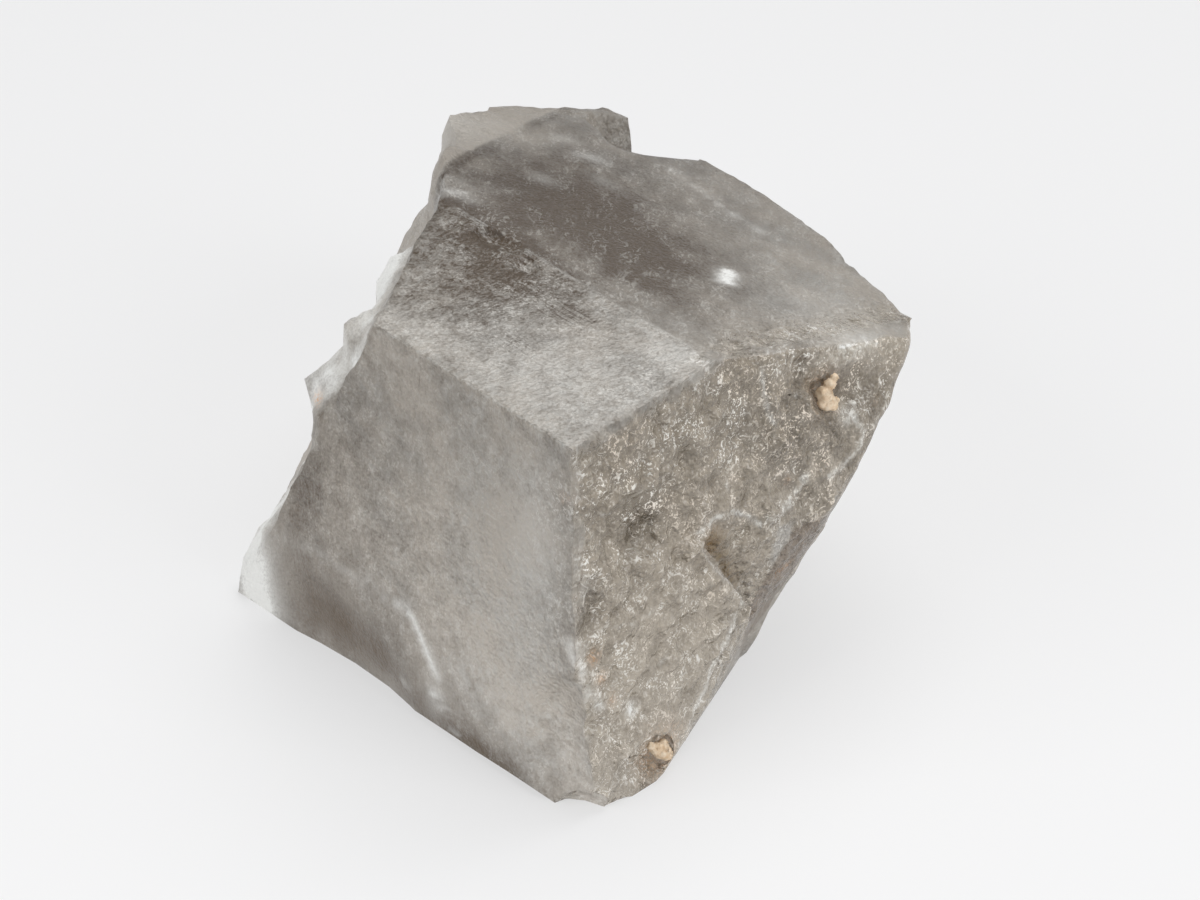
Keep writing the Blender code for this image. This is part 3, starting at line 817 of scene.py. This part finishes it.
# The notch: a grey floor with the plate's painted brown shadow, a slope painted pale as lit, and a
# wall painted dark as shade.
floor_stone = mixed(tree, ranged(tree, mottle, 0.35, 0.65, 0.0, 0.6), NOTCH_STONE, ETCHED_LIGHT)
floor_stone = mixed(tree, times(tree, rims_and_glints, 0.6), floor_stone, RIM_AND_GLINT_WHITE)
plate_shadow = inside_corners(tree, flat_spot, PLATE_SHADOW, 0.5)
floor_stone = mixed(tree, plate_shadow, floor_stone, NOTCH_SHADOW_BROWN)
for corners, soft, share, colour in (
        (NOTCH_FLOOR, 0.12, 0.95, floor_stone),
        (NOTCH_SLOPE, 0.25, 0.75, MILKY_COOL),
        (NOTCH_WALL, 0.10, 0.85, WALL_PAINTED_SHADE)):
    facet_share = times(tree, inside_corners(tree, flat_spot, corners, soft), share)
    stone = mixed(tree, facet_share, stone, colour)

# White frost and the ledges' painted highlights, broken up where they cross the etching, and the
# orange stains.
ragged = times(tree, etched, ranged(tree, mottle, 0.42, 0.56, 0.55, 0.0))
frost_and_highlight = times(tree, painted(tree, "frost_and_highlight"), ranged(tree, grit, 0.3, 0.6, 0.80, 1.10))
frost_and_highlight = times(tree, frost_and_highlight, less(tree, 1.0, ragged))
stone = mixed(tree, held(tree, frost_and_highlight), stone, FROST_WHITE)
stain = times(tree, painted(tree, "stain"), ranged(tree, grit, 0.4, 0.6, 0.2, 1.2))
stone = mixed(tree, held(tree, stain), stone, STAIN_ORANGE)
join(tree, stone, shader.inputs["Base Color"])

# Light passes where there is neither frost nor bright rims and glints, and the end is shinier than the
# rest.
clouded = added(tree, frost_and_highlight, times(tree, rims_and_glints, etched))
join(tree, ranged(tree, clouded, 0.0, 1.0, 0.55, 0.0), shader.inputs["Transmission Weight"])
dull = less(tree, ranged(tree, mottle, 0.3, 0.7, 0.34, 0.50), times(tree, etched, 0.24))
join(tree, dull, shader.inputs["Roughness"])
shader.inputs["IOR"].default_value = DANBURITE_IOR
shader.inputs["Specular IOR Level"].default_value = 0.35
textured(tree, shader, noise_of(tree, flat_spot, 3.0, 1.0, 0.6), 0.8, 0.00022)

inside = tree.nodes.new("ShaderNodeVolumeAbsorption")
inside.inputs["Color"].default_value = INSIDE_TINT
inside.inputs["Density"].default_value = INSIDE_DENSITY
join(tree, inside.outputs["Volume"], tree.nodes["Material Output"].inputs["Volume"])
crystal_mesh.materials.append(danburite)

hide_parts("crystal")
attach(crystal, "root")


# The clay crumbs: two bits of dry peach clay from the crystal's pocket, pressed into pits of
# its etched end. They are dull and crumbly, and touch the stone all round.

CLAY_LIGHT = (0.93, 0.78, 0.60)
CLAY_DARK = (0.66, 0.45, 0.26)
# Each crumb is a clump of lumps: place across the end (y, z) and out of it (x), and radius.
CRUMB_LUMPS = {
    "clay_crumb_upper": (
        (-0.05, -0.25, 0.05, 0.50), (-0.05, -0.05, -0.55, 0.52), (0.0, 0.15, 0.62, 0.36),
        (0.05, 0.42, 0.98, 0.24), (0.0, 0.35, -0.88, 0.34), (0.0, -0.50, -0.42, 0.30),
        (0.05, -0.52, 0.30, 0.24), (0.05, 0.62, -0.62, 0.20),
    ),
    "clay_crumb_lower": (
        (0.0, 0.05, 0.10, 0.52), (0.05, -0.45, 0.45, 0.40), (0.0, 0.40, -0.35, 0.38),
        (0.05, -0.80, 0.80, 0.24), (0.05, 0.15, 0.62, 0.26),
    ),
}
# The lumps are joined by a fine net, and swell and sink at three sizes: height, how often.
LUMP_VOXEL = 0.055
CRUMB_SWELLS = ((0.13, 2.1), (0.07, 5.0), (0.03, 12.0))

clay, tree, shader = new_material("peach_clay")
spot = in_millimetres(tree, MEASURED_FROM)
lumps = noise_of(tree, spot, 2.6, 6.0, 0.7, 0.5)
clay_colour = mixed(tree, ranged(tree, lumps, 0.32, 0.62, 0.0, 1.0), CLAY_DARK, CLAY_LIGHT)
join(tree, clay_colour, shader.inputs["Base Color"])
shader.inputs["Roughness"].default_value = 0.92
textured(tree, shader, lumps, 0.8, 0.0001)

for name, lumps_of_clay in CRUMB_LUMPS.items():
    low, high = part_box(name)
    middle = (Vector(low) + Vector(high)) / 2
    bm = bmesh.new()
    for out, across, up, radius in lumps_of_clay:
        made = bmesh.ops.create_icosphere(bm, subdivisions=4, radius=radius)
        bmesh.ops.translate(bm, verts=made["verts"], vec=Vector((out, across, up)))
    mesh = bpy.data.meshes.new(name + "_detail")
    bm.to_mesh(mesh)
    bm.free()
    crumb = bpy.data.objects.new(name + "_detail", mesh)
    bpy.context.scene.collection.objects.link(crumb)
    joined = crumb.modifiers.new("joined", "REMESH")
    joined.mode = "VOXEL"
    joined.voxel_size = LUMP_VOXEL
    graph = bpy.context.evaluated_depsgraph_get()
    crumb.data = bpy.data.meshes.new_from_object(crumb.evaluated_get(graph))
    crumb.modifiers.clear()
    for vert in crumb.data.vertices:
        point = vert.co.copy()
        swell = sum(height * noise.noise(point * often) for height, often in CRUMB_SWELLS)
        vert.co = (point + vert.normal * swell) * MM + middle
    crumb.data.update()
    for polygon in crumb.data.polygons:
        polygon.use_smooth = True
    crumb.data.materials.clear()
    crumb.data.materials.append(clay)
    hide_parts(name)
    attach(crumb, "root")


# The studio: a plain pale floor that fills the view and glows a little, a broad soft light above
# and behind, weaker ones at the left and the right front, and an even pale surround.

# The camera's turn about the crystal, its height above the floor and its distance.
CAMERA_AZIMUTH = radians(49.1)
CAMERA_ELEVATION = radians(30.8)
CAMERA_DISTANCE = 0.3
LOOK_AT = Vector((0.00766, -0.00452, 0.01244))

FLOOR_HALF = 0.6
FLOOR_GREY = (0.33, 0.33, 0.333, 1.0)
# The floor's glow, from behind the crystal to in front of it: how far, and how strong.
GLOW_BEHIND = -0.09
GLOW_IN_FRONT = 0.06
GLOW_WEAK = 0.50
GLOW_STRONG = 0.575
floor_mesh = bpy.data.meshes.new("floor")
corners = [(x * FLOOR_HALF, y * FLOOR_HALF, 0) for x, y in ((-1, -1), (1, -1), (1, 1), (-1, 1))]
floor_mesh.from_pydata(corners, [], [(0, 1, 2, 3)])
floor = bpy.data.objects.new("floor", floor_mesh)
bpy.context.scene.collection.objects.link(floor)
floor_paint, tree, shader = new_material("floor_paint")
shader.inputs["Base Color"].default_value = FLOOR_GREY
shader.inputs["Roughness"].default_value = 0.8
shader.inputs["Specular IOR Level"].default_value = 0.1
shader.inputs["Emission Color"].default_value = (1.0, 1.0, 1.0, 1.0)
floor_place = tree.nodes.new("ShaderNodeTexCoord").outputs["Object"]
towards_camera = dot_with(tree, floor_place, (sin(CAMERA_AZIMUTH), -cos(CAMERA_AZIMUTH), 0.0))
glow = ranged(tree, towards_camera, GLOW_BEHIND, GLOW_IN_FRONT, GLOW_WEAK, GLOW_STRONG)
join(tree, glow, shader.inputs["Emission Strength"])
floor_mesh.materials.append(floor_paint)


def towards(azimuth, elevation):
    """The way from the crystal to something that stands at a turn and a height, in radians."""
    return Vector((
        sin(azimuth) * cos(elevation),
        -cos(azimuth) * cos(elevation),
        sin(elevation),
    ))


def placed(item, back, distance):
    """Something put up at a distance from the crystal, and turned to face it."""
    item.location = LOOK_AT + back * distance
    item.rotation_euler = back.to_track_quat("Z", "Y").to_euler()
    bpy.context.scene.collection.objects.link(item)


# Soft square lights: name, turn, height in degrees, distance, size, power.
SOFT_LIGHTS = (
    ("light_above", 200, 66, 0.9, 0.8, 5.2),
    ("light_left", 350, 28, 0.9, 0.6, 2.8),
    ("light_right_front", 100, 32, 0.8, 0.45, 2.2),
)
for name, turn, height, distance, size, power in SOFT_LIGHTS:
    lamp = bpy.data.lights.new(name, "AREA")
    lamp.shape = "SQUARE"
    lamp.size = size
    lamp.energy = power
    placed(bpy.data.objects.new(name, lamp), towards(radians(turn), radians(height)), distance)

world = bpy.data.worlds.new("pale_surround")
bpy.context.scene.world = world
world.use_nodes = True
surround = world.node_tree.nodes["Background"]
surround.inputs["Color"].default_value = (0.93, 0.94, 0.96, 1.0)
surround.inputs["Strength"].default_value = 0.32

lens = bpy.data.cameras.new("camera")
lens.lens = 150.0
lens.sensor_width = 36.0
lens.clip_start = 0.01
camera = bpy.data.objects.new("camera", lens)
placed(camera, towards(CAMERA_AZIMUTH, CAMERA_ELEVATION), CAMERA_DISTANCE)
bpy.context.scene.camera = camera
bpy.context.scene.view_settings.view_transform = "Standard"
